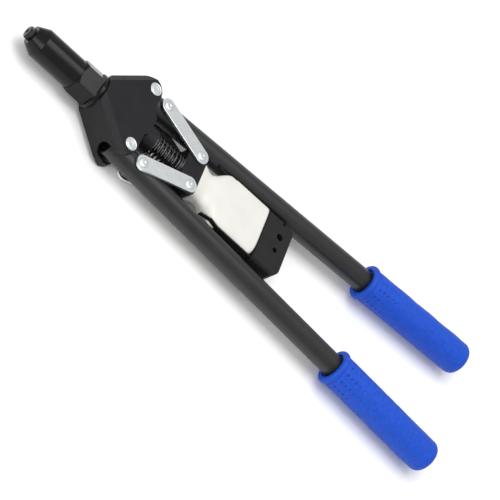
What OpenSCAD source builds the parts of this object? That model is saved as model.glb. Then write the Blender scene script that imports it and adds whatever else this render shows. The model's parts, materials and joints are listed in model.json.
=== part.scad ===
// Long-arm hand riveter: two levers close a pair of toggle links, which pull a crosshead,
// a hollow rod and a jaw case rearward. The tool lies flat, nose towards +X, on its pins and grips.

/* [Overall] */
// Distance from the pivot line forward to the tip of the nosepiece
nose_reach = 121; // [112:1:145]
// Length of each lever from its pivot to the end of its grip
lever_length = 411; // [345:1:500]
// Distance between the two pivot pins
pivot_spacing = 65; // [60:0.5:72]
// Angle of each lever to the nose axis when the tool is closed, in degrees
rest_angle = 3.55; // [3:0.1:5]
// Angle that each lever opens from closed, in degrees
open_angle = 48; // [30:1:48]

/* [Levers] */
// Outside diameter of the lever tube
tube_d = 21.3; // [19:0.1:22]
// Wall of the lever tube
tube_wall = 2; // [1.5:0.1:3]
// Length of tube in front of the pivot
tube_stub = 9.5; // [8:0.5:11]
// Length of the grip
grip_len = 131.5; // [110:1:160]
// Diameter of the grip
grip_d = 32.4; // [28:0.2:36]
// Diameter of the flange at the front of the grip
flange_d = 34.8; // [32:0.2:38]
// Thickness of the flange
flange_t = 5; // [3:0.5:8]

/* [Linkage] */
// Distance from the pivot pin back to the lever's link pin
crank = 21; // [18:0.5:24]
// Distance of each crosshead pin from the nose axis
lug_offset = 16.7; // [15:0.1:19]
// Distance from the pivot line back to the crosshead pins, closed
lug_reach = 69.5; // [64:0.5:78]
// Width of a link plate
link_w = 14.4; // [13:0.2:17]
// Thickness of a link plate
link_t = 2.5; // [2:0.1:4]
// Diameter of the link pins
link_pin_d = 8; // [6:0.5:8]
// Diameter of the pivot pins
pivot_pin_d = 9; // [7:0.5:10]
// Diameter of the pivot pin's head
pivot_head_d = 12; // [11:0.5:14]

/* [Head] */
// Thickness of the head
head_t = 36.8; // [34:0.2:44]
// Distance from the pivot line forward to the head's front face
head_front = 41; // [38:0.5:46]
// Half width of the head's front face
neck_half = 14; // [13:0.5:18]
// Radius of the round ear about each pivot
ear_r = 12.5; // [11:0.1:13.5]
// Diameter of the boss that the spring rests on
boss_d = 25; // [22:0.5:27]
// Distance from the pivot line back to the boss's end
boss_reach = 25; // [20:0.5:28]
// Width of the bevel along the head's slanted sides
bevel_w = 5.5; // [2:0.5:6]
// Depth of the bevel along the head's slanted sides
bevel_depth = 4; // [2:0.5:5]

/* [Barrel] */
// Diameter of the barrel
barrel_d = 28.2; // [26:0.2:32]
// Bore of the barrel
barrel_bore_d = 21; // [20.5:0.1:22]
// Width across the flats of the barrel's hexagon
hex_af = 29.5; // [28.5:0.5:36]
// Length of the hexagon
hex_len = 20; // [14:0.5:22]
// Diameter of the barrel's front face
barrel_tip_d = 18.2; // [16:0.2:22]
// Length of the barrel's tapered front
taper_len = 10; // [7:0.5:12]
// Diameter of the thread that holds the barrel
thread_d = 24; // [23.5:0.5:26]
// Length of the thread that holds the barrel
thread_len = 18; // [14:0.5:20]
// Diameter of the lock ring
ring_d = 34; // [32:0.5:38]
// Thickness of the lock ring
ring_t = 4; // [2.5:0.5:6]

/* [Nosepiece] */
// Width across the flats of the nosepiece
nose_af = 10.6; // [9:0.2:13]
// How far the nosepiece stands out of the barrel
nose_out = 5; // [4:0.5:9]
// Diameter of the nosepiece's thread
nose_thread_d = 9; // [8:0.5:9.5]
// Bore for the rivet's mandrel
nose_bore_d = 4.2; // [2:0.1:4.6]

/* [Pulling parts] */
// Diameter of the pull rod
rod_d = 11; // [9:0.5:12]
// Bore of the pull rod
rod_bore_d = 5.6; // [4.6:0.2:6.2]
// Diameter of the jaw case
case_d = 19.6; // [18:0.2:20]
// Length of the jaw case
case_len = 32; // [28:1:36]
// Half angle of the jaw case's cone, in degrees
cone_angle = 10; // [8:0.5:12]
// Travel of the jaws along the nose axis as they open
jaw_travel = 3; // [2:0.5:3]

/* [Return spring] */
// Wire diameter of the return spring
spring_wire = 2; // [1.4:0.1:2.2]
// Outside diameter of the return spring
spring_d = 21.6; // [20:0.2:23]
// Number of turns of the return spring
spring_turns = 8; // [6:0.5:8]

/* [Crosshead] */
// Length of the crosshead along the nose axis
crosshead_len = 20; // [18:0.5:24]
// Distance from the crosshead pins back to the crosshead's rear face
crosshead_tail = 8.5; // [8:0.5:10]
// Diameter of the socket for the bottle
socket_d = 16; // [14:0.5:17]
// Depth of the socket for the bottle
socket_depth = 12; // [10:0.5:13]

/* [Bottle] */
// Width of the bottle
bottle_w = 55; // [48:0.2:56]
// Thickness of the bottle
bottle_t = 23; // [20:0.5:26]
// Distance from the pivot line back to the bottle's shoulder
bottle_front = 105; // [103:0.5:112]
// Distance from the pivot line back to the bottle's bottom
bottle_back = 155; // [150:0.5:180]
// Wall of the bottle
bottle_wall = 1.4; // [1:0.1:1.6]
// Width of the bottle's neck
collar_w = 35.6; // [32:0.2:38]

/* [Gauge block] */
// Length of the gauge block
block_len = 30; // [26:0.5:36]
// Thickness of the bands along the bottle
band_t = 1.2; // [0.8:0.1:1.4]
// Width of the bands along the bottle
band_w = 16.6; // [12:0.2:17]
// Width of the prong that runs on from each band over the bottle's shoulder
strap_w = 4; // [3:0.5:6]
// Width of the gauge block
block_w = 58; // [54:0.5:60]
// Rounding of the gauge block's long edges
block_edge = 6; // [2:0.5:8]
// Diameters of the three gauge holes, from the right lever's side
gauge_d = [3.3, 6.5, 4.9];
// Distance between the gauge holes
gauge_pitch = 15; // [13:0.5:15.5]

/* [Hidden] */
$fn = 64;
black = [0.11, 0.11, 0.12];
dark = [0.17, 0.17, 0.18];
zinc = [0.78, 0.80, 0.82];
steel = [0.55, 0.56, 0.58];
bronze = [0.66, 0.50, 0.28];
blue = [0.10, 0.25, 0.78];
cream = [0.93, 0.92, 0.87];

slide_fit = 0.05;      // radial running clearance of a pin or rod
press_gap = 0.02;      // radial clearance of a pressed or screwed part
free_gap = 0.5;        // clearance round the lever tube
face_gap = 0.3;        // clearance between plates that pass each other

pivot_y = pivot_spacing / 2;
tube_r = tube_d / 2;
link_in = tube_r + 0.6;
link_out = link_in + link_t;
lug_half = link_in - face_gap;
head_half = head_t / 2;
slot_half = link_in + 0.1;         // inside face of the head's cheeks
cavity_front = 3;                  // the cheeks part here, in front of the pivot line
pin_head_t = 1.2;
clip_t = 1;
pin_tail = 1.4;                    // pivot pin below the head's lower face
lift = head_half + pin_tail;       // height of the nose axis over the table
grip_edge = 7;                     // rounding of the grip's end
rear_reach = (lever_length - grip_edge) * cos(rest_angle)
           + (grip_d / 2 - grip_edge) * sin(rest_angle) + grip_edge;
shift = (rear_reach - nose_reach) / 2;

link_pin_x = -crank * cos(rest_angle);
link_pin_y = pivot_y + crank * sin(rest_angle);
link_dx = lug_reach + link_pin_x;
link_dy = link_pin_y - lug_offset;
link_len = sqrt(link_dx * link_dx + link_dy * link_dy);
link_angle = atan2(link_dy, link_dx);
lug_slack_x = 1.9;                 // slot in the lug, along the nose axis, each way
lug_slack_y = 0.7;                 // slot in the lug, across the nose axis, each way

crosshead_back = -(lug_reach + crosshead_tail);
crosshead_front = crosshead_back + crosshead_len;
stroke = 15;                       // forward travel of the crosshead as the levers open
washer_t = 1.2;
spring_front = -boss_reach - washer_t;
spring_back = crosshead_front + washer_t;
spring_len = spring_front - spring_back;

ring_front = head_front + ring_t;
hex_front = ring_front + hex_len;
barrel_front = nose_reach - nose_out;
hex_turn = 10;                     // the hexagon as it stands once the barrel is tight
nose_thread_len = 12;
case_front = barrel_front - nose_thread_len - stroke - 0.5;
case_back = case_front - case_len;
coupler_len = 12;
coupler_back = case_back - coupler_len;
rod_front = case_back - 4;
rod_back = crosshead_back + socket_depth;
bush_front = 16;
bush_back = -12;
bush_r = rod_d / 2 + 2.5;

jaw_len = 14;
jaw_front_r = 3.6;
jaw_bore_r = 1.7;
jaw_gap = 0.15;                    // clearance between a jaw and its neighbours
case_wall_r = case_d / 2;
pusher_len = 8;
pusher_r = 5.2;

socket_r = socket_d / 2;
spigot_r = socket_r - 0.1;
collar_half = collar_w / 2;
collar_z = bottle_t / 2 - 1;
collar_back = -92;
bottle_round = 5;                  // rounding of the bottle's rear corners
channel_depth = band_t + face_gap;
channel_y = bottle_w / 2 - channel_depth;
bottle_half_z = bottle_t / 2;
block_front = -bottle_back - 0.2;
block_back = block_front - block_len;
block_round = 9;
strap_start = -(bottle_front + 8); // the bands end and the prongs start here
prong_dip = [-bottle_front, bottle_w / 2 - 2];      // outer face where a prong lies nearest the axis
prong_tip = [collar_back - 1, bottle_w / 2 + 0.4];  // outer face at a prong's end
gauge_y0 = -24.6;                  // first gauge hole, near the right lever
gauge_x = block_front - block_len * 0.6;

// Puts the nose axis at its height over the table and the tool's middle at the origin
module place() {
    translate([shift, 0, lift]) children();
}

// Turns +Z to run forward along the nose axis, from x
module along(x) {
    translate([x, 0, 0]) rotate([0, 90, 0]) children();
}

// A ring on the nose axis from x, of length len
module ring(x, len, r, bore_r) {
    along(x) difference() {
        cylinder(r = r, h = len);
        translate([0, 0, -1]) cylinder(r = bore_r, h = len + 2);
    }
}

// Frame of a lever at rest: +X runs from the pivot to the grip; side is 1 left, -1 right
module lever_frame(side) {
    translate([0, side * pivot_y, 0]) rotate([0, 0, 180 - side * rest_angle]) children();
}

// A coil spring along +Z as one closed tube, with its end turns closed up
module coil(wire, mean_r, len, turns) {
    sides = 8;
    rings = ceil(turns * 18);
    dead = wire * 1.08;
    pitch = (len - wire - 2 * dead) / (turns - 2);
    function rise(t) = t < 1 ? dead * t : t < turns - 1 ? dead + pitch * (t - 1)
        : dead + pitch * (turns - 2) + dead * (t - turns + 1);
    points = [for (i = [0:rings]) let (t = turns * i / rings, a = 360 * t)
        for (j = [0:sides - 1]) let (b = 360 * j / sides, r = mean_r + wire / 2 * cos(b))
            [r * cos(a), r * sin(a), wire / 2 + rise(t) + wire / 2 * sin(b)]];
    walls = [for (i = [0:rings - 1]) for (j = [0:sides - 1])
        [i * sides + j, i * sides + (j + 1) % sides,
         (i + 1) * sides + (j + 1) % sides, (i + 1) * sides + j]];
    start = [[for (j = [sides - 1:-1:0]) j]];
    end = [[for (j = [0:sides - 1]) rings * sides + j]];
    polyhedron(points = points, faces = concat(walls, start, end), convexity = 10);
}

// Head casting

// The ear's centre, and the angle of the slanted side that runs from the front face to the ear
ear_x = 4.6;
ear_inset = 2.1;                   // the ear's centre lies this far inside the pivot
ear_y = pivot_y - ear_inset;
ear_run = head_front - ear_x;
ear_rise = ear_y - neck_half;
slant_angle = atan2(ear_rise, ear_run) + asin(ear_r / sqrt(ear_run * ear_run + ear_rise * ear_rise));

side_hole_r = 9.4;                 // hole in each slanted side, in front of the lever's end
side_hole_len = 30;
rear_inset = 0.6;                  // the rear edge lies this far inside the back of the ear's circle

// The outline seen from above; the points by the ear lie just inside its circle
module head_outline() {
    inside = ear_r - 0.05;
    tip_x = ear_x + inside * sin(slant_angle);
    tip_y = ear_y + inside * cos(slant_angle);
    rear_x = ear_x - ear_r + rear_inset;
    waist_x = rear_x - 0.4;
    waist_y = boss_d / 2 + 1.5;
    tongue_x = -boss_reach / 2;
    tongue_y = boss_d / 2 - 3.5;
    polygon([[head_front, -neck_half], [head_front, neck_half], [tip_x, tip_y], [ear_x, ear_y],
        [rear_x, ear_y - 3], [waist_x, waist_y], [tongue_x, tongue_y], [tongue_x, -tongue_y],
        [waist_x, -waist_y], [rear_x, 3 - ear_y], [ear_x, -ear_y], [tip_x, -tip_y]]);
    for (side = [-1, 1]) translate([ear_x, side * ear_y]) circle(r = ear_r);
}

// The bevel between a slanted side and the face above it
module side_bevel() {
    translate([head_front, neck_half, head_half]) rotate([0, 0, 180 - slant_angle])
        rotate([90, 0, 90]) translate([0, 0, -20]) linear_extrude(height = 90)
            polygon([[1.5 * bevel_w, 0.5 * bevel_depth], [-0.5 * bevel_w, -1.5 * bevel_depth],
                [-0.5 * bevel_w, 0.5 * bevel_depth]]);
}

module head_body() {
    stub_sweep = sqrt(tube_stub * tube_stub + tube_r * tube_r);
    color(black) place() difference() {
        union() {
            difference() {
                translate([0, 0, -head_half]) linear_extrude(height = head_t) head_outline();
                translate([-80, -80, -slot_half]) cube([80 + cavity_front, 160, 2 * slot_half]);
            }
            along(-boss_reach) cylinder(d = boss_d, h = boss_reach + 12);
        }
        for (side = [-1, 1]) translate([0, side * pivot_y, 0]) {
            sphere(r = stub_sweep + free_gap);
            rotate([0, 0, side * (90 - slant_angle)]) rotate([0, 90, 0])
                cylinder(r = side_hole_r, h = side_hole_len);
            translate([0, 0, -head_half - 1]) cylinder(d = pivot_pin_d + 2 * press_gap, h = head_t + 2);
        }
        along(head_front - thread_len - 1) cylinder(d = thread_d + 2 * press_gap, h = thread_len + 5);
        along(bush_front) cylinder(r = case_wall_r + 0.9, h = head_front - bush_front);
        along(bush_back) cylinder(r = bush_r + press_gap, h = 40);
        along(-boss_reach - 1) cylinder(r = rod_d / 2 + 0.7, h = boss_reach);
        for (up = [0, 1]) mirror([0, 0, up]) for (side = [0, 1]) mirror([0, side, 0]) side_bevel();
    }
}

module guide_bush() {
    color(bronze) place() ring(bush_back, bush_front - bush_back, bush_r, rod_d / 2 + slide_fit);
}

// Barrel and nosepiece

module barrel() {
    color(dark) place() difference() {
        union() {
            along(head_front - thread_len) cylinder(d = thread_d, h = thread_len + ring_t + 1);
            along(ring_front) rotate([0, 0, hex_turn]) intersection() {
                cylinder(d = hex_af / cos(30), h = hex_len, $fn = 6);
                cylinder(r1 = hex_af / 2 + hex_len, r2 = hex_af / 2, h = hex_len);
            }
            along(hex_front - 1) cylinder(d = barrel_d, h = barrel_front - taper_len - hex_front + 1);
            along(barrel_front - taper_len)
                cylinder(d1 = barrel_d, d2 = barrel_tip_d, h = taper_len);
        }
        along(head_front - thread_len - 1)
            cylinder(d = barrel_bore_d, h = barrel_front - nose_thread_len - head_front + thread_len + 2);
        along(barrel_front - nose_thread_len - 1)
            cylinder(d = nose_thread_d + 2 * press_gap, h = nose_thread_len + 2);
    }
}

module barrel_lock_ring() {
    color(black) place() ring(head_front, ring_t, ring_d / 2, thread_d / 2 + press_gap);
}

module nosepiece() {
    color(dark) place() difference() {
        union() {
            along(barrel_front - nose_thread_len)
                cylinder(d = nose_thread_d, h = nose_thread_len + 1);
            along(barrel_front) intersection() {
                cylinder(d = nose_af / cos(30), h = nose_out, $fn = 6);
                cylinder(r1 = nose_af / 2 + 4, r2 = nose_af / 2 - 0.3, h = nose_out);
            }
        }
        along(barrel_front - nose_thread_len - 1) cylinder(d = nose_bore_d, h = nose_thread_len + nose_out + 2);
    }
}

// Return spring and its washers

module front_spring_washer() {
    color(steel) place() ring(spring_front, washer_t, spring_d / 2 + 0.4, rod_d / 2 + 0.6);
}

module rear_spring_washer() {
    color(steel) place() ring(crosshead_front, washer_t, spring_d / 2 + 0.4, rod_d / 2 + press_gap);
}

module return_spring() {
    color(black) place() along(spring_back)
        coil(spring_wire, (spring_d - spring_wire) / 2, spring_len, spring_turns);
}

// Pivot pins, each with a head above and a circlip below

module pivot_pin(side) {
    groove_z = -head_half - clip_t;
    translate([0, side * pivot_y, 0]) difference() {
        union() {
            translate([0, 0, -lift]) cylinder(d = pivot_pin_d, h = lift + head_half + 0.5);
            translate([0, 0, head_half]) cylinder(d = pivot_head_d, h = pin_head_t - 0.4);
            translate([0, 0, head_half + pin_head_t - 0.4])
                cylinder(d1 = pivot_head_d, d2 = pivot_head_d - 1, h = 0.4);
        }
        translate([0, 0, groove_z]) difference() {
            cylinder(d = pivot_pin_d + 2, h = clip_t);
            translate([0, 0, -1]) cylinder(d = pivot_pin_d - 1, h = clip_t + 2);
        }
    }
}

module circlip(side) {
    outer_r = pivot_pin_d / 2 + 2;
    translate([0, side * pivot_y, -head_half - clip_t]) difference() {
        cylinder(r = outer_r, h = clip_t);
        translate([0, 0, -1]) cylinder(d = pivot_pin_d - 1 + 2 * press_gap, h = clip_t + 2);
        translate([0, -1.5, -1]) cube([outer_r + 1, 3, clip_t + 2]);
    }
}

module pivot_pin_left() { color(zinc) place() pivot_pin(1); }
module pivot_pin_right() { color(zinc) place() pivot_pin(-1); }
module circlip_left() { color(steel) place() circlip(1); }
module circlip_right() { color(steel) place() circlip(-1); }

// Crosshead and what it pulls

module crosshead() {
    lug_r = crosshead_tail - 0.1;
    color(black) place() difference() {
        translate([0, 0, -lug_half]) linear_extrude(height = 2 * lug_half) {
            translate([crosshead_back, -lug_offset]) square([crosshead_len, 2 * lug_offset]);
            for (side = [-1, 1]) {
                translate([-lug_reach, side * lug_offset]) circle(r = lug_r);
                translate([-lug_reach + 4, side * (lug_offset + 1)]) circle(r = lug_r - 1.5);
            }
        }
        for (side = [-1, 1]) translate([-lug_reach, side * lug_offset, -lug_half - 1]) lug_slot();
        along(crosshead_back - 1) cylinder(r = socket_r, h = socket_depth + 1);
        along(crosshead_back) cylinder(r = rod_d / 2 + press_gap, h = crosshead_len + 1);
    }
}

// The slot gives the crosshead pin room, because the linkage is opened here
module lug_slot() {
    slot_r = link_pin_d / 2 + lug_slack_y;
    reach = lug_slack_x - lug_slack_y;
    tall = 2 * lug_half + 2;
    for (end = [-reach, reach]) translate([end, 0, 0]) cylinder(r = slot_r, h = tall);
    translate([-reach, -slot_r + 0.02, 0]) cube([2 * reach, 2 * slot_r - 0.04, tall]);
}

module pull_rod() {
    color(steel) place() ring(rod_back, rod_front - rod_back, rod_d / 2, rod_bore_d / 2);
}

module rod_lock_nut() {
    nut_af = (spring_d / 2 - spring_wire - 0.5) * 2 * cos(30);
    color(steel) place() along(spring_back) difference() {
        cylinder(d = nut_af / cos(30), h = 5, $fn = 6);
        translate([0, 0, -1]) cylinder(r = rod_d / 2 + press_gap, h = 7);
    }
}

// Joins the pull rod to the jaw case, and seats the jaw spring
module jaw_coupler() {
    color(steel) place() difference() {
        union() {
            along(coupler_back) cylinder(d = case_d - 2, h = coupler_len);
            along(case_back - 1) cylinder(r = case_wall_r - 2, h = 7);
        }
        along(coupler_back - 1) cylinder(r = rod_d / 2 + press_gap, h = rod_front - coupler_back + 1);
        along(rod_front - 1) cylinder(d = rod_bore_d, h = 14);
    }
}

// Radius of the jaw case's cone at x
function cone_r(x) = jaw_front_r + 0.2 + (case_front - x) * tan(cone_angle);
jaw_zone = jaw_len + jaw_travel + 1.5;
case_bore_r = case_wall_r - 2 + press_gap;

module jaw_case() {
    color(dark) place() difference() {
        along(case_back) cylinder(d = case_d, h = case_len);
        along(case_front - jaw_zone)
            cylinder(r1 = cone_r(case_front - jaw_zone), r2 = cone_r(case_front), h = jaw_zone);
        along(case_front - 0.5) cylinder(r = cone_r(case_front), h = 1);
        along(case_back - 1) cylinder(r = case_bore_r, h = case_len - jaw_zone + 1);
    }
}

// One of the three jaws: a third of a cone, bored for the mandrel
module jaw(index) {
    back = case_front - 0.6 - jaw_len;
    color(steel) place() along(0) rotate([0, 0, index * 120]) difference() {
        translate([0, 0, back]) cylinder(r1 = cone_r(back) - 0.2, r2 = cone_r(back + jaw_len) - 0.2, h = jaw_len);
        translate([0, 0, back - 1]) cylinder(r = jaw_bore_r, h = jaw_len + 2);
        translate([0, 0, back - 1]) cylinder(r1 = pusher_r - 1.7, r2 = 0.5, h = 5);
        for (turn = [60, -60]) rotate([0, 0, turn])
            translate([-20, turn > 0 ? -jaw_gap : -20 + jaw_gap, back - 1]) cube([40, 20, jaw_len + 2]);
    }
}

module jaw_1() { jaw(0); }
module jaw_2() { jaw(1); }
module jaw_3() { jaw(2); }

pusher_front = case_front - 0.6 - jaw_len + 0.1;
pusher_flange = pusher_front - 2;

module jaw_pusher() {
    color(steel) place() difference() {
        union() {
            along(pusher_flange - 2) cylinder(r = pusher_r, h = 4 - 0.4);
            along(pusher_flange - 2 - pusher_len + 4) cylinder(r = pusher_r - 1.6, h = pusher_len - 4);
        }
        along(pusher_flange - pusher_len) cylinder(d = nose_bore_d, h = pusher_len + 5);
    }
}

module jaw_spring() {
    back = case_back + 6;
    color(steel) place() along(back) coil(0.9, pusher_r - 0.6, pusher_flange - 2 - back, 5);
}

// Levers

module lever_tube(side) {
    tube_end = lever_length - 6;
    lever_frame(side) difference() {
        rotate([0, 90, 0]) translate([0, 0, -tube_stub]) cylinder(d = tube_d, h = tube_end + tube_stub);
        rotate([0, 90, 0]) translate([0, 0, -tube_stub - 1])
            cylinder(r = tube_r - tube_wall, h = tube_end + tube_stub + 2);
        translate([0, 0, -tube_d]) cylinder(d = pivot_pin_d + 5 + 2 * press_gap, h = 2 * tube_d);
        translate([crank, 0, -tube_d]) cylinder(d = link_pin_d + 2 * slide_fit, h = 2 * tube_d);
    }
}

module pivot_bush(side) {
    half = slot_half - 0.2;
    translate([0, side * pivot_y, -half]) difference() {
        cylinder(d = pivot_pin_d + 5, h = 2 * half);
        translate([0, 0, -1]) cylinder(d = pivot_pin_d + 2 * slide_fit, h = 2 * half + 2);
    }
}

module grip(side) {
    r = grip_d / 2;
    start = lever_length - grip_len;
    lip = 1.5;
    lever_frame(side) rotate([0, 90, 0]) difference() {
        union() {
            translate([0, 0, start]) cylinder(r1 = flange_d / 2 - lip, r2 = flange_d / 2, h = lip);
            translate([0, 0, start + lip]) cylinder(d = flange_d, h = flange_t - 2 * lip);
            translate([0, 0, start + flange_t - lip])
                cylinder(r1 = flange_d / 2, r2 = r, h = lip);
            translate([0, 0, start + flange_t]) cylinder(r = r, h = grip_len - flange_t - grip_edge);
            translate([0, 0, lever_length - grip_edge]) rotate_extrude() {
                square([r - grip_edge, grip_edge]);
                translate([r - grip_edge, 0]) intersection() {
                    circle(r = grip_edge);
                    square(grip_edge);
                }
            }
        }
        translate([0, 0, start - 1]) cylinder(r = tube_r + press_gap, h = grip_len - 4);
        translate([0, 0, start - 1]) cylinder(r = tube_r + 1.8, h = 4);
    }
}

module tube_plug(side) {
    inner = tube_r - tube_wall;
    lever_frame(side) rotate([0, 90, 0]) translate([0, 0, lever_length - 18])
        cylinder(r = inner - press_gap, h = 12);
}

module lever_tube_left() { color(black) place() lever_tube(1); }
module lever_tube_right() { color(black) place() lever_tube(-1); }
module pivot_bush_left() { color(black) place() pivot_bush(1); }
module pivot_bush_right() { color(black) place() pivot_bush(-1); }
module grip_left() { color(blue) place() grip(1); }
module grip_right() { color(blue) place() grip(-1); }
module tube_plug_left() { color(dark) place() tube_plug(1); }
module tube_plug_right() { color(dark) place() tube_plug(-1); }

// Links

// A flat plate with round ends and two pin holes, from the crosshead pin to the lever's pin
module link_plate(side, low) {
    mirror([0, side < 0 ? 1 : 0, 0]) translate([-lug_reach, lug_offset, low])
        rotate([0, 0, link_angle]) difference() {
            union() {
                for (end = [0, link_len]) translate([end, 0, 0]) cylinder(d = link_w, h = link_t);
                translate([0, -link_w / 2 + 0.02, 0]) cube([link_len, link_w - 0.04, link_t]);
            }
            for (end = [0, link_len]) translate([end, 0, -1])
                cylinder(d = link_pin_d + 2 * press_gap, h = link_t + 2);
        }
}

// A pin through both link plates, its ends riveted over
module link_pin(x, y) {
    half = link_out + 0.4;
    translate([x, y, -half + 0.4]) cylinder(d = link_pin_d, h = 2 * half - 0.8);
    for (up = [0, 1]) mirror([0, 0, up]) translate([x, y, half - 0.4])
        cylinder(d1 = link_pin_d, d2 = link_pin_d - 0.8, h = 0.4);
}

module link_front_left() { color(zinc) place() link_plate(1, link_in); }
module link_back_left() { color(zinc) place() link_plate(1, -link_out); }
module link_front_right() { color(zinc) place() link_plate(-1, link_in); }
module link_back_right() { color(zinc) place() link_plate(-1, -link_out); }
module lever_link_pin_left() { color(zinc) place() link_pin(link_pin_x, link_pin_y); }
module lever_link_pin_right() { color(zinc) place() link_pin(link_pin_x, -link_pin_y); }
module crosshead_pin_left() { color(zinc) place() link_pin(-lug_reach, lug_offset); }
module crosshead_pin_right() { color(zinc) place() link_pin(-lug_reach, -lug_offset); }

// Collecting bottle

// The bottle's outline seen from above, set in by inset all round
module bottle_outline(inset) {
    half_w = bottle_w / 2 - inset;
    r = bottle_round - inset;
    back = -bottle_back + inset;
    polygon([[back + r, -half_w], [-bottle_front, -half_w], [collar_back, -collar_half + inset],
        [collar_back + 3, -collar_half + inset], [collar_back + 3, collar_half - inset],
        [collar_back, collar_half - inset], [-bottle_front, half_w], [back + r, half_w]]);
    translate([back, -half_w + r]) square([2 * r, 2 * half_w - 2 * r]);
    for (side = [-1, 1]) translate([back + r, side * (half_w - r)]) circle(r = r);
}

// Channels along both sides for the gauge block's bands and prongs, widened all round by extra
module side_channel(extra) {
    top = band_w / 2 + face_gap + extra;
    low = band_w / 2 - strap_w - face_gap - extra;
    deep = band_t + face_gap + extra;
    for (side = [0, 1]) mirror([0, side, 0]) {
        translate([-bottle_back - 1, channel_y - extra, -top])
            cube([bottle_back + 1 + strap_start + face_gap + extra, bottle_w / 2, 2 * top]);
        translate([0, 0, low]) linear_extrude(height = top - low)
            polygon([[strap_start - 1, channel_y - extra], [strap_start, channel_y - extra],
                [prong_dip[0], prong_dip[1] - deep], [prong_tip[0], prong_tip[1] - deep],
                [prong_tip[0], bottle_w], [strap_start - 1, bottle_w]]);
    }
}

module bottle() {
    w = bottle_wall;
    mouth = crosshead_back - face_gap;
    inner_t = bottle_t - 2 * w;
    color(cream) place() difference() {
        union() {
            translate([0, 0, -bottle_half_z]) linear_extrude(height = bottle_t) bottle_outline(0);
            translate([collar_back, -collar_half, -collar_z])
                cube([mouth - collar_back, collar_w, 2 * collar_z]);
            along(mouth - 4) cylinder(r = spigot_r, h = socket_depth + 3.5);
        }
        side_channel(0);
        difference() {
            translate([0, 0, -inner_t / 2]) linear_extrude(height = inner_t) bottle_outline(w);
            side_channel(w);
        }
        translate([collar_back, -collar_half + w, -collar_z + w])
            cube([mouth - collar_back - 3, collar_w - 2 * w, 2 * collar_z - 2 * w]);
        along(mouth - 5) cylinder(r = spigot_r - 1.6, h = socket_depth + 6);
        along(mouth + 4) difference() {
            cylinder(r = spigot_r + 1, h = 1.8);
            translate([0, 0, -1]) cylinder(r = spigot_r - 0.8, h = 4);
        }
    }
}

module bottle_seal() {
    color(black) place() ring(crosshead_back - 0.3 + 4.1, 1.6, spigot_r + 0.08, spigot_r - 0.75);
}

// Gauge block: a moulded end block with two bands that grip the bottle's sides

// One arm: a band along the bottle, then a prong that bows in over the shoulder
module arm() {
    y = bottle_w / 2;
    translate([block_front - 1, y - band_t, -band_w / 2])
        cube([strap_start - block_front + 1, band_t, band_w]);
    translate([0, 0, band_w / 2 - strap_w]) linear_extrude(height = strap_w)
        polygon([[strap_start - 1, y - band_t], [strap_start, y - band_t], prong_dip - [0, band_t],
            prong_tip - [0, band_t], prong_tip, prong_dip, [strap_start, y], [strap_start - 1, y]]);
}

// The block's outline seen from above
module block_outline() {
    half = block_w / 2;
    translate([block_back + block_round, -half]) square([block_len - block_round, 2 * half]);
    translate([block_back, -half + block_round]) square([block_len, 2 * half - 2 * block_round]);
    for (side = [-1, 1]) translate([block_back + block_round, side * (half - block_round)])
        circle(r = block_round);
}

// The block's outline seen from behind, turned to lie across the nose axis
module block_section() {
    inner_y = block_w / 2 - block_edge;
    inner_z = bottle_half_z - block_edge;
    square([2 * bottle_half_z, 2 * inner_y], center = true);
    square([2 * inner_z, block_w], center = true);
    for (up = [-1, 1]) for (side = [-1, 1]) translate([up * inner_z, side * inner_y])
        circle(r = block_edge);
}

module gauge_block() {
    color(black) place() difference() {
        union() {
            intersection() {
                translate([0, 0, -bottle_half_z]) linear_extrude(height = bottle_t) block_outline();
                along(block_back - 1) linear_extrude(height = block_len + 2) block_section();
            }
            for (side = [0, 1]) mirror([0, side, 0]) arm();
        }
        for (i = [0:2]) translate([gauge_x, gauge_y0 + i * gauge_pitch, -bottle_t])
            cylinder(d = gauge_d[i], h = 2 * bottle_t);
    }
}

head_body();
barrel();
barrel_lock_ring();
nosepiece();
guide_bush();
front_spring_washer();
return_spring();
pivot_pin_left();
pivot_pin_right();
circlip_left();
circlip_right();
crosshead();
rear_spring_washer();
pull_rod();
rod_lock_nut();
jaw_coupler();
jaw_case();
jaw_spring();
jaw_pusher();
jaw_1();
jaw_2();
jaw_3();
lever_tube_left();
pivot_bush_left();
grip_left();
tube_plug_left();
lever_tube_right();
pivot_bush_right();
grip_right();
tube_plug_right();
link_front_left();
link_back_left();
lever_link_pin_left();
crosshead_pin_left();
link_front_right();
link_back_right();
lever_link_pin_right();
crosshead_pin_right();
bottle();
bottle_seal();
gauge_block();
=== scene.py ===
import json
import math

import bmesh
import bpy
from mathutils import Matrix, Vector, noise


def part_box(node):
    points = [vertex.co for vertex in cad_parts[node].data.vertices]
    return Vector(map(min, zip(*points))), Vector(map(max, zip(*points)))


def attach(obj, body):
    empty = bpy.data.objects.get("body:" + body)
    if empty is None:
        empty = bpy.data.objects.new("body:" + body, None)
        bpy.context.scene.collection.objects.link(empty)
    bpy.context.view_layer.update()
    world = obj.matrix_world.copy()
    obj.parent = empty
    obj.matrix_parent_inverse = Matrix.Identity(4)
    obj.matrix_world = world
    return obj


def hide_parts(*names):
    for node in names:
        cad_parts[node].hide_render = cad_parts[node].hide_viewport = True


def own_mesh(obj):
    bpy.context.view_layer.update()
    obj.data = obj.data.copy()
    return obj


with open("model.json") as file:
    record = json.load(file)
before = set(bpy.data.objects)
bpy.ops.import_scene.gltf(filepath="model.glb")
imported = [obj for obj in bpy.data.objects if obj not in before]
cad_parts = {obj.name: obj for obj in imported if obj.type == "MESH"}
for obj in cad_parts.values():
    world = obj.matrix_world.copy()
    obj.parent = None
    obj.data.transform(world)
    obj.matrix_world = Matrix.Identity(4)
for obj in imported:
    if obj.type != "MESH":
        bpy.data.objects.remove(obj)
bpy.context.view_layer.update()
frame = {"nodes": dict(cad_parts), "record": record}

mm = 0.001


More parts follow.
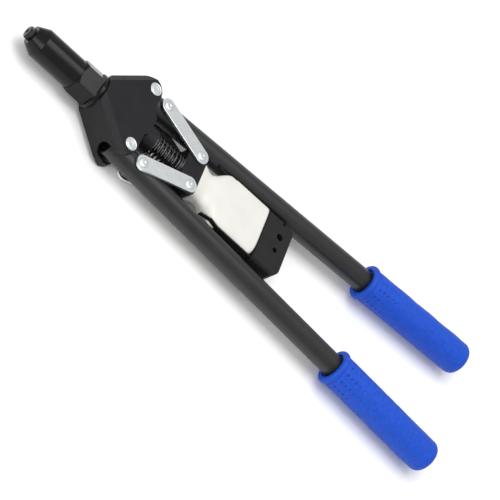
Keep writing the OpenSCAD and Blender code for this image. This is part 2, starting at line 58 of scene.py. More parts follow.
def middle(node):
    low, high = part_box(node)
    return (low + high) / 2


pivotX = middle("pivot_pin_left").x  # the line through both pivot pins
axisZ = middle("crosshead").z  # the nose axis, above the table


def at(x, y, z):
    # a point in millimetres from the middle of the pivot line: forward, left, up
    return Vector((pivotX + x * mm, y * mm, axisZ + z * mm))


def tint(hexColour):
    # an sRGB hex colour as linear values
    parts = [int(hexColour[i:i + 2], 16) / 255 for i in (1, 3, 5)]
    return tuple(c / 12.92 if c <= 0.04045 else ((c + 0.055) / 1.055) ** 2.4 for c in parts) + (1.0,)


def addNode(tree, kind, settings, links):
    # settings are the node's own options; links are input values, or sockets to connect
    node = tree.nodes.new(kind)
    for name, value in settings.items():
        setattr(node, name, value)
    for name, value in links.items():
        if isinstance(value, bpy.types.NodeSocket):
            tree.links.new(value, node.inputs[name])
        else:
            node.inputs[name].default_value = value
    return node


def perSize(millimetres):
    # a texture scale that gives features of this size
    return 1 / (millimetres * mm)


def makeMaterial(name, look):
    # look: two colours and the size of their patches, the roughness range and its patch size,
    # bumps as (size in mm, depth in mm, stretch), a fleck as (size in mm, strength, colour)
    # where the finish has one, and values for the shader's own sockets
    material = bpy.data.materials.new(name)
    material.use_nodes = True
    tree = material.node_tree
    shader = tree.nodes["Principled BSDF"]
    for socket, value in look["shader"].items():
        shader.inputs[socket].default_value = value
    place = addNode(tree, "ShaderNodeTexCoord", {}, {}).outputs["Object"]
    patch = addNode(tree, "ShaderNodeTexNoise", {}, {
        "Vector": place, "Scale": perSize(look["patch"]), "Detail": 4.0, "Roughness": 0.6}).outputs["Fac"]
    spread = addNode(tree, "ShaderNodeMapRange", {}, {
        "Value": patch, "From Min": 0.3, "From Max": 0.7}).outputs["Result"]
    mix = addNode(tree, "ShaderNodeMix", {"data_type": "RGBA"}, {"Factor": spread})
    mix.inputs[6].default_value = tint(look["colours"][0])
    mix.inputs[7].default_value = tint(look["colours"][1])
    colour = mix.outputs[2]
    if "fleck" in look:
        size, strength, fleckColour = look["fleck"]
        cell = addNode(tree, "ShaderNodeTexVoronoi", {}, {"Vector": place, "Scale": perSize(size)})
        tone = addNode(tree, "ShaderNodeMix", {"data_type": "RGBA"}, {})
        amount = addNode(tree, "ShaderNodeMath", {"operation": "MULTIPLY"}, {
            0: cell.outputs["Color"], 1: strength})
        tree.links.new(amount.outputs[0], tone.inputs[0])
        tree.links.new(colour, tone.inputs[6])
        tone.inputs[7].default_value = tint(fleckColour)
        colour = tone.outputs[2]
    tree.links.new(colour, shader.inputs["Base Color"])
    grain = addNode(tree, "ShaderNodeTexNoise", {}, {
        "Vector": place, "Scale": perSize(look["roughPatch"]), "Detail": 5.0}).outputs["Fac"]
    low, high = look["roughness"]
    sheen = addNode(tree, "ShaderNodeMapRange", {}, {
        "Value": grain, "From Min": 0.25, "From Max": 0.75, "To Min": low, "To Max": high}).outputs["Result"]
    tree.links.new(sheen, shader.inputs["Roughness"])
    surface = None
    for size, depth, stretch in look["bumps"]:
        stretched = addNode(tree, "ShaderNodeMapping", {}, {
            "Vector": place, "Scale": stretch}).outputs["Vector"]
        height = addNode(tree, "ShaderNodeTexNoise", {}, {
            "Vector": stretched, "Scale": perSize(size), "Detail": 3.0}).outputs["Fac"]
        links = {"Height": height, "Strength": 1.0, "Distance": depth * mm}
        if surface:
            links["Normal"] = surface
        surface = addNode(tree, "ShaderNodeBump", {}, links).outputs["Normal"]
    if surface:
        tree.links.new(surface, shader.inputs["Normal"])
    return material


even = (1, 1, 1)

# Die-cast alloy with a sprayed and baked black enamel: semi-matte, the cast skin shows through it
castEnamel = {
    "colours": ("#111114", "#17171b"), "patch": 14, "roughness": (0.40, 0.52), "roughPatch": 3,
    "bumps": [(0.9, 0.05, even), (0.25, 0.012, even)],  # the cast grain, coarser than real so that it shows
    "shader": {"IOR": 1.5, "Specular IOR Level": 0.23}}
# Steel tube with a black powder coat: satin, with the coat's faint orange peel
powderCoat = {
    "colours": ("#18181a", "#1e1e1f"), "patch": 30, "roughness": (0.30, 0.38), "roughPatch": 5,
    "bumps": [(1.6, 0.03, even), (0.3, 0.006, even)],
    "shader": {"IOR": 1.5, "Specular IOR Level": 0.5}}
# Turned steel, blackened in a hot oxide bath and oiled: dark with a brown cast and fine tool rings
blackOxide = {
    "colours": ("#08090a", "#0e0d0c"), "patch": 9, "roughness": (0.17, 0.26), "roughPatch": 2,
    "bumps": [(0.35, 0.004, (1, 0.05, 0.05)), (0.3, 0.004, even)],
    "shader": {"IOR": 1.5, "Specular IOR Level": 0.24}}
# Zinc-plated and passivated steel, barrel-finished: bright blue-white with a fine crystalline grain
zincPlate = {
    "colours": ("#ebeeef", "#dde1e3"), "patch": 5, "roughness": (0.30, 0.44), "roughPatch": 0.8,
    "fleck": (0.5, 0.35, "#aeb7ba"),  # the crystals, coarser than real so that they show
    "bumps": [(0.35, 0.010, even)],
    "shader": {"Metallic": 1.0}}
# Bright machined steel, wet with the oil it runs in: mid grey with fine tool marks
brightSteel = {
    "colours": ("#66686b", "#545659"), "patch": 6, "roughness": (0.24, 0.36), "roughPatch": 1,
    "bumps": [(0.3, 0.004, (1, 0.08, 0.08))], "shader": {"Metallic": 1.0}}
# Sintered bronze, filled with oil: dull gold-brown with a fine open grain
sinteredBronze = {
    "colours": ("#a4763a", "#8d6430"), "patch": 4, "roughness": (0.40, 0.55), "roughPatch": 0.6,
    "bumps": [(0.25, 0.01, even)], "shader": {"Metallic": 1.0}}
# Hard-drawn spring wire, blackened and oiled: near black with sharp glints
springWire = {
    "colours": ("#0a0a0a", "#101011"), "patch": 6, "roughness": (0.13, 0.20), "roughPatch": 1.5,
    "bumps": [(0.5, 0.003, even)], "shader": {"IOR": 1.5, "Specular IOR Level": 0.85}}
# Moulded black polypropylene with a spark-eroded skin: dull, with a fine grain
blackPolypropylene = {
    "colours": ("#151515", "#1b1b1b"), "patch": 10, "roughness": (0.48, 0.62), "roughPatch": 0.9,
    "bumps": [(0.5, 0.03, even), (1.4, 0.02, even)], "shader": {"IOR": 1.49, "Specular IOR Level": 0.25}}
# Blow-moulded white polyethylene: waxy, light passes a little way in
whitePolyethylene = {
    "colours": ("#d9d8d2", "#d2d0c9"), "patch": 22, "roughness": (0.34, 0.44), "roughPatch": 4,
    "bumps": [(9, 0.10, even), (0.6, 0.006, even)],
    "shader": {"IOR": 1.52, "Subsurface Weight": 0.2, "Subsurface Radius": (1.0, 0.8, 0.6),
               "Subsurface Scale": 0.003}}
# Soft blue thermoplastic rubber: saturated, dull, with a mottled skin
blueRubber = {
    "colours": ("#124fc6", "#0d43b2"), "patch": 3.5, "roughness": (0.50, 0.64), "roughPatch": 1.6,
    "bumps": [(0.8, 0.03, even), (3.5, 0.12, even)], "shader": {"IOR": 1.5, "Specular IOR Level": 0.3}}
# Moulded black nitrile rubber: matt and even
blackNitrile = {
    "colours": ("#151515", "#1d1d1d"), "patch": 4, "roughness": (0.55, 0.65), "roughPatch": 1,
    "bumps": [(0.6, 0.01, even)], "shader": {"IOR": 1.5}}

finishes = {
    "painted_casting": makeMaterial("castEnamel", castEnamel),
    "painted_tube": makeMaterial("powderCoat", powderCoat),
    "black_oxide": makeMaterial("blackOxide", blackOxide),
    "zinc_plate": makeMaterial("zincPlate", zincPlate),
    "plain_steel": makeMaterial("brightSteel", brightSteel),
    "bronze": makeMaterial("sinteredBronze", sinteredBronze),
    "spring_steel": makeMaterial("springWire", springWire),
    "black_plastic": makeMaterial("blackPolypropylene", blackPolypropylene),
    "white_plastic": makeMaterial("whitePolyethylene", whitePolyethylene),
    "blue_rubber": makeMaterial("blueRubber", blueRubber),
    "black_rubber": makeMaterial("blackNitrile", blackNitrile),
}
slotOf = {row["node"]: row["material_slot"] for row in frame["record"]["subparts"]}
bodyOf = {node: body for body, nodes in frame["record"]["behaviour"]["bodies"].items() for node in nodes}
for node, piece in frame["nodes"].items():
    piece.data.materials.clear()
    piece.data.materials.append(finishes[slotOf[node]])
print("materials:", len(finishes))

mergeGap = 0.002  # points nearer than this, in mm, become one
sliverGap = 0.03  # the same for a CAD mesh, whose slivers would spoil a bevel
flatAngle = 0.3  # faces that turn by less than this, in degrees, become one


def addPiece(bm, name, node, creaseAngle=40, fixNormals=True):
    # a mesh becomes a piece that stands for one CAD node
    if fixNormals:
        bmesh.ops.remove_doubles(bm, verts=bm.verts, dist=mergeGap * mm)
        bmesh.ops.recalc_face_normals(bm, faces=bm.faces)
    mesh = bpy.data.meshes.new(name)
    bm.to_mesh(mesh)
    bm.free()
    if "custom_normal" in mesh.attributes:
        mesh.attributes.remove(mesh.attributes["custom_normal"])
    mesh.shade_smooth()
    mesh.set_sharp_from_angle(angle=math.radians(creaseAngle))
    mesh.materials.clear()
    mesh.materials.append(finishes[slotOf[node]])
    piece = bpy.data.objects.new(name, mesh)
    bpy.context.scene.collection.objects.link(piece)
    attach(piece, bodyOf[node])
    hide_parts(node)
    return piece


def roundEdges(piece, width, segments, angle):
    edge = piece.modifiers.new("roundedEdges", "BEVEL")
    edge.width = width * mm
    edge.segments = segments
    edge.limit_method = "ANGLE"
    edge.angle_limit = math.radians(angle)
    edge.harden_normals = True
    edge.miter_outer = "MITER_ARC"
    return piece


def roundedCopy(node, name, width, segments=3, angle=30):
    # a CAD node's own shape, joined up, with its edges rounded
    bm = bmesh.new()
    bm.from_mesh(frame["nodes"][node].data)
    bmesh.ops.remove_doubles(bm, verts=bm.verts, dist=sliverGap * mm)
    bmesh.ops.dissolve_limit(bm, angle_limit=math.radians(flatAngle), verts=bm.verts, edges=bm.edges)
    piece = addPiece(bm, name, node, creaseAngle=angle, fixNormals=False)
    return roundEdges(piece, width, segments, angle)


def axisFrame(point, axis):
    # local Z runs along axis from the point
    return Matrix.Translation(point) @ axis.to_track_quat("Z", "Y").to_matrix().to_4x4()


def turned(profile, point, axis, steps=64):
    # a profile of (radius, height) in mm, a closed one or one that ends on the axis, spun about the axis
    bm = bmesh.new()
    verts = [bm.verts.new((r * mm, 0, h * mm)) for r, h in profile]
    edges = [bm.edges.new((verts[i], verts[i + 1])) for i in range(len(verts) - 1)]
    bmesh.ops.spin(bm, geom=verts + edges, cent=(0, 0, 0), axis=(0, 0, 1), angle=2 * math.pi,
                   steps=steps, use_merge=True, use_duplicate=False)
    bmesh.ops.remove_doubles(bm, verts=bm.verts, dist=mergeGap * mm)
    bmesh.ops.transform(bm, matrix=axisFrame(point, axis), verts=bm.verts)
    return bm


def arcPoints(centre, radius, start, end, count):
    # points on an arc in a profile, angles in degrees from the radius direction
    points = []
    for i in range(count + 1):
        a = math.radians(start + (end - start) * i / count)
        points.append((centre[0] + radius * math.cos(a), centre[1] + radius * math.sin(a)))
    return points


head = {"edge": 0.9, "lockRingEdge": 0.6, "barrelEdge": 0.45, "noseEdge": 0.3}
roundedCopy("head_body", "headCasting", head["edge"], angle=28)
roundedCopy("barrel_lock_ring", "lockRing", head["lockRingEdge"])
roundedCopy("barrel", "barrelTube", head["barrelEdge"], angle=25)
roundedCopy("nosepiece", "noseTip", head["noseEdge"], segments=2)

# radii, and heights above the nose axis, in mm
pivotPin = {
    "headRadius": 6.0, "headTop": 19.6, "headUnder": 18.4, "edge": 0.45, "underEdge": 0.1,
    # the head's dished top and the ring turned in it: radius, and height from the head's top
    "face": ((0, -0.25), (1.6, -0.2), (2.6, -0.06), (3.4, 0), (4.1, 0), (4.3, -0.12), (4.6, -0.12), (4.8, 0)),
    "shank": 4.5, "foot": -19.8, "footEdge": 0.3,
    "clipGroove": (-18.3, -19.5), "clipDepth": 0.6, "clipEdge": 0.05}
circlip = {"edge": 0.15}


def pivotPinProfile(p):
    top, under, edge = p["headTop"], p["headUnder"], p["underEdge"]
    grooveTop, grooveFoot = p["clipGroove"]
    groove = p["shank"] - p["clipDepth"]
    profile = [(radius, top + height) for radius, height in p["face"]]
    profile += arcPoints((p["headRadius"] - p["edge"], top - p["edge"]), p["edge"], 90, 0, 5)
    profile += [(p["headRadius"], under + edge), (p["headRadius"] - edge, under), (p["shank"], under),
                (p["shank"], grooveTop), (groove, grooveTop - p["clipEdge"]),
                (groove, grooveFoot + p["clipEdge"]), (p["shank"], grooveFoot),
                (p["shank"] - p["footEdge"], p["foot"]), (0, p["foot"])]
    return profile


for side in ("left", "right"):
    centre = middle("pivot_pin_" + side)
    centre.z = axisZ
    pin = turned(pivotPinProfile(pivotPin), centre, Vector((0, 0, 1)), steps=72)
    addPiece(pin, "pivotPin" + side.title(), "pivot_pin_" + side, creaseAngle=35)
    roundedCopy("circlip_" + side, "circlip" + side.title(), circlip["edge"], segments=2)
print("head and nose done")

link = {"edge": 0.55}
linkPin = {
    "radius": 4.0, "plateTop": 13.75, "domeTop": 14.75, "domeRadius": 4.8, "domeFlat": 2.0, "domeSteps": 6,
    "lift": 0.03, "undercut": 0.05,
    # the punched centre of the riveted head: radius, and height from the dome's top
    "punch": ((0, -0.5), (0.5, -0.45), (0.9, -0.08), (1.3, 0))}


def linkPinProfile(p):
    # one riveted head, from its punched centre down to the shank, and the other mirrored below it
    foot = p["plateTop"] + p["lift"]
    half = [(radius, p["domeTop"] + height) for radius, height in p["punch"]]
    for i in range(p["domeSteps"] + 1):
        a = math.radians(90 * i / p["domeSteps"])
        half.append((p["domeFlat"] + (p["domeRadius"] - p["domeFlat"]) * math.sin(a),
                     foot + (p["domeTop"] - foot) * math.cos(a)))
    half.append((p["radius"], p["plateTop"] - p["undercut"]))
    return half + [(r, -z) for r, z in reversed(half)]


for side in ("left", "right"):
    for level in ("front", "back"):
        roundedCopy("link_%s_%s" % (level, side), "link" + level.title() + side.title(), link["edge"])
    for node, name in (("lever_link_pin_", "leverLinkPin"), ("crosshead_pin_", "crossheadPin")):
        centre = middle(node + side)
        centre.z = axisZ
        pin = turned(linkPinProfile(linkPin), centre, Vector((0, 0, 1)), steps=48)
        addPiece(pin, name + side.title(), node + side)
print("links done")

closedPitch = 2.06  # the closed end turns of a spring stand this many wire radii apart


def coilSpring(name, s):
    # a coil along the nose axis, its end turns closed up and ground flat
    low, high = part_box(s["node"])
    wire = s["wire"] * mm
    meanRadius = (high.z - low.z) / 2 - s["cadWire"] * mm
    length = high.x - low.x
    closedRise = wire * closedPitch
    openTurns = s["turns"] - 2
    openRise = (length - wire - 2 * closedRise) / openTurns
    bm = bmesh.new()
    start = Matrix.Translation((low.x + wire * 0.5, meanRadius, axisZ))
    bmesh.ops.create_circle(bm, cap_ends=False, segments=s["sides"], radius=wire, matrix=start)
    run = bm.verts[:] + bm.edges[:]
    for turns, rise in ((1, closedRise), (openTurns, openRise), (1, closedRise)):
        steps = turns * s["stepsPerTurn"]
        out = bmesh.ops.spin(bm, geom=run, cent=(0, 0, axisZ), axis=(1, 0, 0),
                             dvec=(rise * turns / steps, 0, 0), angle=turns * 2 * math.pi, steps=steps,
                             use_merge=False, use_duplicate=False)
        run = out["geom_last"]
    for x, direction in ((low.x, -1), (high.x, 1)):
        bmesh.ops.bisect_plane(bm, geom=bm.verts[:] + bm.edges[:] + bm.faces[:], dist=1e-7,
                               plane_co=(x, 0, 0), plane_no=(direction, 0, 0), clear_outer=True)
    bmesh.ops.holes_fill(bm, edges=[e for e in bm.edges if e.is_boundary], sides=0)
    piece = addPiece(bm, name, s["node"], creaseAngle=50)
    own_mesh(piece)


# wire and cadWire are radii in mm, travel is in metres
returnSpring = {
    "node": "return_spring", "turns": 8, "wire": 1.08, "cadWire": 1.0, "sides": 14, "stepsPerTurn": 56,
    "joint": "crosshead_slide", "travel": 0.0177 * math.radians(48), "fixedEnd": "front"}
jawSpring = {
    "node": "jaw_spring", "turns": 5, "wire": 0.44, "cadWire": 0.45, "sides": 10, "stepsPerTurn": 40,
    "joint": "jaw_pusher_slide", "travel": 0.003, "fixedEnd": "rear"}
coilSpring("returnSpringWire", returnSpring)
coilSpring("jawSpringWire", jawSpring)

crosshead = {"edge": 0.6, "washerEdge": 0.2}
roundedCopy("crosshead", "crossheadCasting", crosshead["edge"], angle=28)
for node in ("front_spring_washer", "rear_spring_washer"):
    roundedCopy(node, node.replace("_spring_washer", "SpringWasher"), crosshead["washerEdge"], segments=2)
print("springs and crosshead done")

leverTube = {"edge": 0.24}
# radii, and distances along the lever from its pivot, in mm
grip = {
    "start": 279.5, "end": 411.0, "radius": 16.2, "bodyRound": 1.0, "endRound": 7.0, "endFlat": 4.0,
    "lip": 17.4, "lipLength": 5.2, "lipFront": 2.2, "lipBack": 1.6,
    # the neck behind the lip: radius more than the neck's own, and distance from the lip
    "neck": 15.3, "neckCurve": ((0.25, 0.25), (0, 0.8), (0.1, 1.4)), "neckLength": 3.0,
    # the mouth round the tube, with a sloping floor and a round rim
    "mouth": 12.45, "mouthDepth": 3.0, "mouthRound": 0.8,
    "mouthFloor": (0.3, 0.5), "mouthWall": (0.3, 0.4, 1.4),
    "tubeRadius": 10.67, "bore": 408.0,
    "steps": 208, "meshStep": 0.5, "meshMargin": (0.45, 0.2),
    # rings of dimples, pressed less deep away from the lip
    "dimpleStart": 6.2, "dimplePitch": 5.4, "dimplesRound": 12, "dimpleRadius": 1.05, "dimpleSpread": 1.5,
    "dimpleDepth": 2.1, "dimpleWear": 0.86, "wearRate": 3.4,
    # the finger side's waves, and the skin's unevenness and the size of its patches
    "wave": 0.22, "waves": 4, "waveRise": 6, "skin": 0.16, "skinPatch": 5, "skinStretch": 0.6,
    "skinLow": 0.15, "skinStart": 1, "skinInside": 12,
    # the thin parting line before the rounded end
    "lineGap": 2.6, "lineDepth": 0.28, "lineWidth": 0.6}


def gripProfile(g):
    s, lip, lipEnd, floor = g["start"], g["lip"], g["start"] + g["lipLength"], g["start"] + g["mouthDepth"]
    wallInset, wallDrop, wallEnd = g["mouthWall"]
    points = [(g["tubeRadius"], g["bore"]), (g["tubeRadius"], floor + g["mouthFloor"][0]),
              (g["tubeRadius"] + g["mouthFloor"][1], floor), (g["mouth"] - wallInset, floor - wallDrop),
              (g["mouth"], s + wallEnd)]
    points += arcPoints((g["mouth"] + g["mouthRound"], s + g["mouthRound"]), g["mouthRound"], 180, 270, 4)
    points += arcPoints((lip - g["lipFront"], s + g["lipFront"]), g["lipFront"], 270, 360, 7)
    points += arcPoints((lip - g["lipBack"], lipEnd - g["lipBack"]), g["lipBack"], 0, 75, 5)
    points += [(g["neck"] + more, lipEnd + along) for more, along in g["neckCurve"]]
    bodyStart = lipEnd + g["neckLength"]
    points += arcPoints((g["radius"] - g["bodyRound"], bodyStart), g["bodyRound"], 300, 360, 3)
    bodyEnd = g["end"] - g["endRound"]
    fine = bodyStart + g["meshMargin"][0]
    while fine < bodyEnd - g["meshMargin"][1]:
        points.append((g["radius"], fine))
        fine += g["meshStep"]
    points += arcPoints((g["radius"] - g["endRound"], bodyEnd), g["endRound"], 0, 90, 12)
    points += [(g["endFlat"], g["end"]), (0, g["end"]), (0, g["bore"])]
    points.append(points[0])
    return points


def dimpleSink(s, turn, g):
    # how deep the surface is pressed in at a distance along the grip and a turn about it, in mm
    first = g["start"] + g["lipLength"] + g["dimpleStart"]
    length = g["end"] - g["endRound"] - first
    ring = round((s - first) / g["dimplePitch"])
    if ring < 0 or ring * g["dimplePitch"] > length:
        return 0
    column = round(turn / (2 * math.pi) * g["dimplesRound"])
    across = (turn - column * 2 * math.pi / g["dimplesRound"]) * g["radius"]
    along = s - first - ring * g["dimplePitch"]
    away = math.hypot(across, along) / g["dimpleRadius"]
    if away >= g["dimpleSpread"]:
        return 0
    share = ring * g["dimplePitch"] / length
    depth = g["dimpleDepth"] * (1 - g["dimpleWear"] * min(1, share * g["wearRate"]))
    return depth * (0.5 + 0.5 * math.cos(math.pi * away / g["dimpleSpread"]))


def shapeSkin(bm, g, outward):
    # gives a grip that stands along Z its dimples, waves, parting line and uneven skin
    for v in bm.verts:
        radius, s = math.hypot(v.co.x, v.co.y) / mm, v.co.z / mm
        if s < g["start"] + g["lipLength"] + g["skinStart"] or radius < g["skinInside"]:
            continue
        unit = Vector((v.co.x, v.co.y, 0)).normalized()
        turn = math.atan2(v.co.y, v.co.x) % (2 * math.pi)
        share = (s - g["start"]) / (g["end"] - g["start"])
        wave = g["wave"] * max(0, unit.dot(outward)) * math.sin(share * g["waves"] * 2 * math.pi)
        wave *= min(1, share * g["waveRise"])
        spot = Vector((v.co.x, v.co.y, v.co.z * g["skinStretch"]))
        skin = g["skin"] * noise.noise(spot / (g["skinPatch"] * mm))
        lineAway = abs(s - (g["end"] - g["endRound"] - g["lineGap"]))
        line = g["lineDepth"] * max(0, 1 - lineAway / g["lineWidth"])
        v.co += unit * (wave + skin - g["skinLow"] - line - dimpleSink(s, turn, g)) * mm


for side, sign in (("left", 1), ("right", -1)):
    pivot = middle("pivot_pin_" + side)
    pivot.z = axisZ
    crank = middle("lever_link_pin_" + side)
    crank.z = axisZ
    bm = turned(gripProfile(grip), Vector((0, 0, 0)), Vector((0, 0, 1)), grip["steps"])
    place = axisFrame(pivot, (crank - pivot).normalized())
    shapeSkin(bm, grip, place.inverted().to_3x3() @ Vector((0, sign, 0)))  # sign: away from the other lever
    bmesh.ops.transform(bm, matrix=place, verts=bm.verts)
    addPiece(bm, "grip" + side.title(), "grip_" + side, creaseAngle=60)
    roundedCopy("lever_tube_" + side, "leverTube" + side.title(), leverTube["edge"], segments=2, angle=35)
print("levers and grips done")

bottle = {
    "back": -155.0, "leftCorner": 7.0, "rightCorner": 2.0, "topCorner": 3.0, "left": 27.5, "right": 28.4,
    "height": 11.5, "topSlope": 0.8, "leftSquare": 4.4, "rightSquare": 9, "rightTaper": 0.4, "fade": 10,
    "frontSquare": 7, "squareEnd": -113, "shoulder": -107, "neckSquare": 1.5, "mouthInset": 0.5,
    # rings: distances from the back face where its edge is rounded, then places up to the shoulder
    "edgeGaps": (0, 0.15, 0.5, 1.0, 1.7, 2.5, 3.6, 5.0, 7.0),
    "bodyRings": (-145, -141, -136, -131, -126, -121, -116, -113.3, -112.5, -110),
    # the sides are pressed in for the block's bands, within band of mid height and in to bandY, and
    # on the shoulder for its prongs, whose inner faces follow the points (x, y)
    "band": 8.7, "bandY": 25.95, "bandEnd": -112.8, "prongLow": 3.9, "prongHigh": 8.7,
    "prong": ((-113.0, 25.9), (-105.0, 24.0), (-92.0, 26.4)),
    # stations from the shoulder to the crosshead: x, half width, half height, squareness
    "stations": ((-107, 27.5, 11.45, 5), (-104.5, 27.0, 11.3, 4.2), (-102, 25.7, 11.0, 3.6),
                 (-99.5, 23.6, 10.5, 3.1), (-97, 21.2, 9.8, 2.8), (-94.5, 18.9, 9.1, 2.6),
                 (-92, 17.3, 8.5, 2.5), (-89.5, 16.4, 8.3, 2.5), (-87, 16.3, 8.6, 2.7),
                 (-84.5, 16.7, 9.2, 3.0), (-82, 17.3, 9.9, 3.5), (-79.8, 17.7, 10.4, 4.2),
                 (-78.6, 17.8, 10.5, 4.6), (-78.35, 17.4, 10.1, 4.6)),
    # where a section's points lie: heights on its side, then shares of the way across its top
    "sideLevels": (0, 0.13, 0.235, 0.262, 0.30, 0.42, 0.55, 0.66, 0.735, 0.765, 0.80, 0.85, 0.90),
    "topShares": (0.985, 0.95, 0.90, 0.82, 0.72, 0.60, 0.47, 0.32, 0.16, 0)}


def bottleRings(b):
    # x, left and right half widths, half height, and the squareness of each side
    rings = []
    back, shoulder = b["back"], b["shoulder"]
    for gap in b["edgeGaps"]:
        drops = []
        for corner in (b["leftCorner"], b["rightCorner"], b["topCorner"]):
            inside = max(0, corner - gap)
            drops.append(corner - math.sqrt(max(0, corner * corner - inside * inside)))
        rings.append((back + gap, b["left"] - drops[0], b["right"] - drops[1],
                      b["height"] - drops[2] * b["topSlope"], b["leftSquare"], b["rightSquare"]))
    for x in b["bodyRings"]:
        right = b["right"] - (x - back) / (shoulder - back) * b["rightTaper"]
        rightSquare = b["rightSquare"] if x < b["squareEnd"] else b["frontSquare"]
        rings.append((x, b["left"], right, b["height"], b["leftSquare"], rightSquare))
    for x, half, height, square in b["stations"]:
        rightMore = (b["right"] - b["rightTaper"] - b["left"]) * max(0, 1 - (x - shoulder) / b["fade"])
        rings.append((x, half, half + rightMore, height,
                      min(square, b["leftSquare"]), square * b["neckSquare"]))
    return rings


def quarter(b, half, height, square):
    # a quarter of the section, from the middle of the side up to the middle of the top
    points = []
    for level in b["sideLevels"]:
        points.append((half * (1 - level ** square) ** (1 / square), level * height))
    last = points[-1][0]
    for share in b["topShares"]:
        y = last * share
        points.append((y, height * (1 - (y / half) ** square) ** (1 / square)))
    return points


def sink(b, x, y, z):
    # how far out the side may stand where the block's bands and prongs lie
    if x < b["bandEnd"]:
        return min(y, b["bandY"]) if abs(z) < b["band"] else y
    if not b["prongLow"] < z < b["prongHigh"]:
        return y
    for (x0, y0), (x1, y1) in zip(b["prong"], b["prong"][1:]):
        if x0 <= x <= x1:
            return min(y, y0 + (y1 - y0) * (x - x0) / (x1 - x0))
    return y


bm = bmesh.new()
previous = None
count = 4 * (len(bottle["sideLevels"]) + len(bottle["topShares"]) - 1)
for x, leftHalf, rightHalf, height, leftSquare, rightSquare in bottleRings(bottle):
    left = quarter(bottle, leftHalf, height, leftSquare)
    right = quarter(bottle, rightHalf, height, rightSquare)
    outline = [(sink(bottle, x, y, z), z) for y, z in left[:-1]]
    outline += [(-sink(bottle, x, y, z), z) for y, z in reversed(right[1:])]
    outline += [(-sink(bottle, x, y, -z), -z) for y, z in right[:-1]]
    outline += [(sink(bottle, x, y, -z), -z) for y, z in reversed(left[1:])]
    ring = bmesh.ops.create_circle(bm, cap_ends=False, segments=count, radius=mm)["verts"]
    for v, (y, z) in zip(ring, outline):  # each point of the circle goes to its place on the outline
        v.co = at(x, y, z)
    edges = [e for e in bm.edges if e.verts[0] in set(ring) and e.verts[1] in set(ring)]
    if previous is None:
        bmesh.ops.contextual_create(bm, geom=edges)
    else:
        bmesh.ops.bridge_loops(bm, edges=previous + edges)
    previous = edges
# a face closes the neck, and the spigot stands on it
face = bmesh.ops.contextual_create(bm, geom=previous)["faces"]
bmesh.ops.inset_region(bm, faces=face, thickness=bottle["mouthInset"] * mm, use_even_offset=True)
bottlePiece = addPiece(bm, "bottleShell", "bottle", creaseAngle=50)
smooth = bottlePiece.modifiers.new("smoothSkin", "SUBSURF")
smooth.levels = smooth.render_levels = 1

# the tube that plugs into the crosshead, with the seal's groove round it: radii, and distances
# forward of the bottle's mouth
spigot = {"mouth": -78.4, "radius": 7.9, "bore": 6.3, "reach": 11.6, "lip": 0.4, "grooveStart": 4.1,
          "grooveEnd": 5.9, "grooveRadius": 7.1, "root": -0.4, "collar": 0.6, "collarEnd": -0.1}


def spigotProfile(p):
    bore, radius, lip, groove = p["bore"], p["radius"], p["lip"], p["grooveRadius"]
    shoulder = p["reach"] - lip
    profile = [(bore, p["root"]), (bore, shoulder)]
    profile += arcPoints((bore + lip, shoulder), lip, 180, 90, 4)
    profile += arcPoints((radius - lip, shoulder), lip, 90, 0, 4)
    profile += [(radius, p["grooveEnd"]), (groove, p["grooveEnd"]), (groove, p["grooveStart"]),
                (radius, p["grooveStart"]), (radius, p["collar"]), (radius + p["collar"], p["collarEnd"]),
                (radius + p["collar"], p["root"]), (bore, p["root"])]
    return profile


spigotTube = turned(spigotProfile(spigot), at(spigot["mouth"], 0, 0), Vector((1, 0, 0)))
addPiece(spigotTube, "bottleSpigot", "bottle")
print("bottle done")

gaugeBlock = {"edge": 0.7}
roundedCopy("gauge_block", "gaugeBlock", gaugeBlock["edge"])
print("gauge block done")

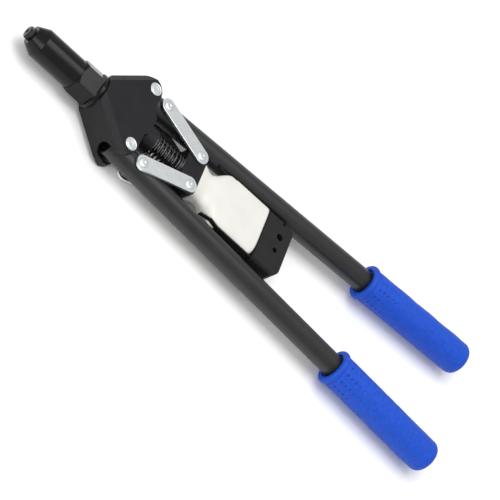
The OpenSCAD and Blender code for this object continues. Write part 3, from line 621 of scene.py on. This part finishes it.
# floorReach is from the middle to a side; each softbox has its place, width and height, and watts
studio = {"floor": "#fafaf9", "floorShader": {"Roughness": 0.9, "Specular IOR Level": 0.1},
          "floorReach": 4.0, "world": 0.65,
          "overheadBox": ((0.2, -0.05, 1.5), 1.2, 1.2, 15), "sideBox": ((0.9, 0.9, 0.9), 0.5, 1.2, 6)}
bm = bmesh.new()
bmesh.ops.create_grid(bm, x_segments=1, y_segments=1, size=studio["floorReach"])
floorMesh = bpy.data.meshes.new("paleFloor")
bm.to_mesh(floorMesh)
bm.free()
floor = bpy.data.objects.new("paleFloor", floorMesh)
bpy.context.scene.collection.objects.link(floor)
floorPaint = bpy.data.materials.new("palePaper")
floorPaint.use_nodes = True
floorShader = floorPaint.node_tree.nodes["Principled BSDF"]
floorShader.inputs["Base Color"].default_value = tint(studio["floor"])
for socket, value in studio["floorShader"].items():
    floorShader.inputs[socket].default_value = value
floorMesh.materials.append(floorPaint)

world = bpy.data.worlds.new("softStudio")
world.use_nodes = True
world.node_tree.nodes["Background"].inputs["Color"].default_value = (1, 1, 1, 1)
world.node_tree.nodes["Background"].inputs["Strength"].default_value = studio["world"]
bpy.context.scene.world = world


def softbox(name, place, width, height, watts):
    # a soft light that faces the tool
    light = bpy.data.lights.new(name, "AREA")
    light.shape = "RECTANGLE"
    light.size, light.size_y = width, height
    light.energy = watts
    lamp = bpy.data.objects.new(name, light)
    bpy.context.scene.collection.objects.link(lamp)
    lamp.location = place
    lamp.rotation_euler = (-Vector(place)).to_track_quat("-Z", "Y").to_euler()


for name in ("overheadBox", "sideBox"):
    softbox(name, *studio[name])
bpy.context.scene.view_settings.view_transform = "Standard"

# place: where the lens stands, in mm from the middle of the pivot line; axes: rows of its turn
view = {"place": (784.2, 1417.68, 1562.8), "sensor": 36, "lens": 191.66, "farEnd": 20,
        "axes": ((-0.67599, 0.61306, 0.40889), (-0.29745, -0.73466, 0.60976), (0.67421, 0.29057, 0.67898))}
camera = bpy.data.objects.new("camera", bpy.data.cameras.new("camera"))
bpy.context.scene.collection.objects.link(camera)
camera.matrix_world = Matrix.Translation(at(*view["place"])) @ Matrix(view["axes"]).to_4x4()
camera.data.sensor_width = view["sensor"]
camera.data.lens = view["lens"]
camera.data.clip_end = view["farEnd"]
bpy.context.scene.camera = camera
print("floor, light and camera done")
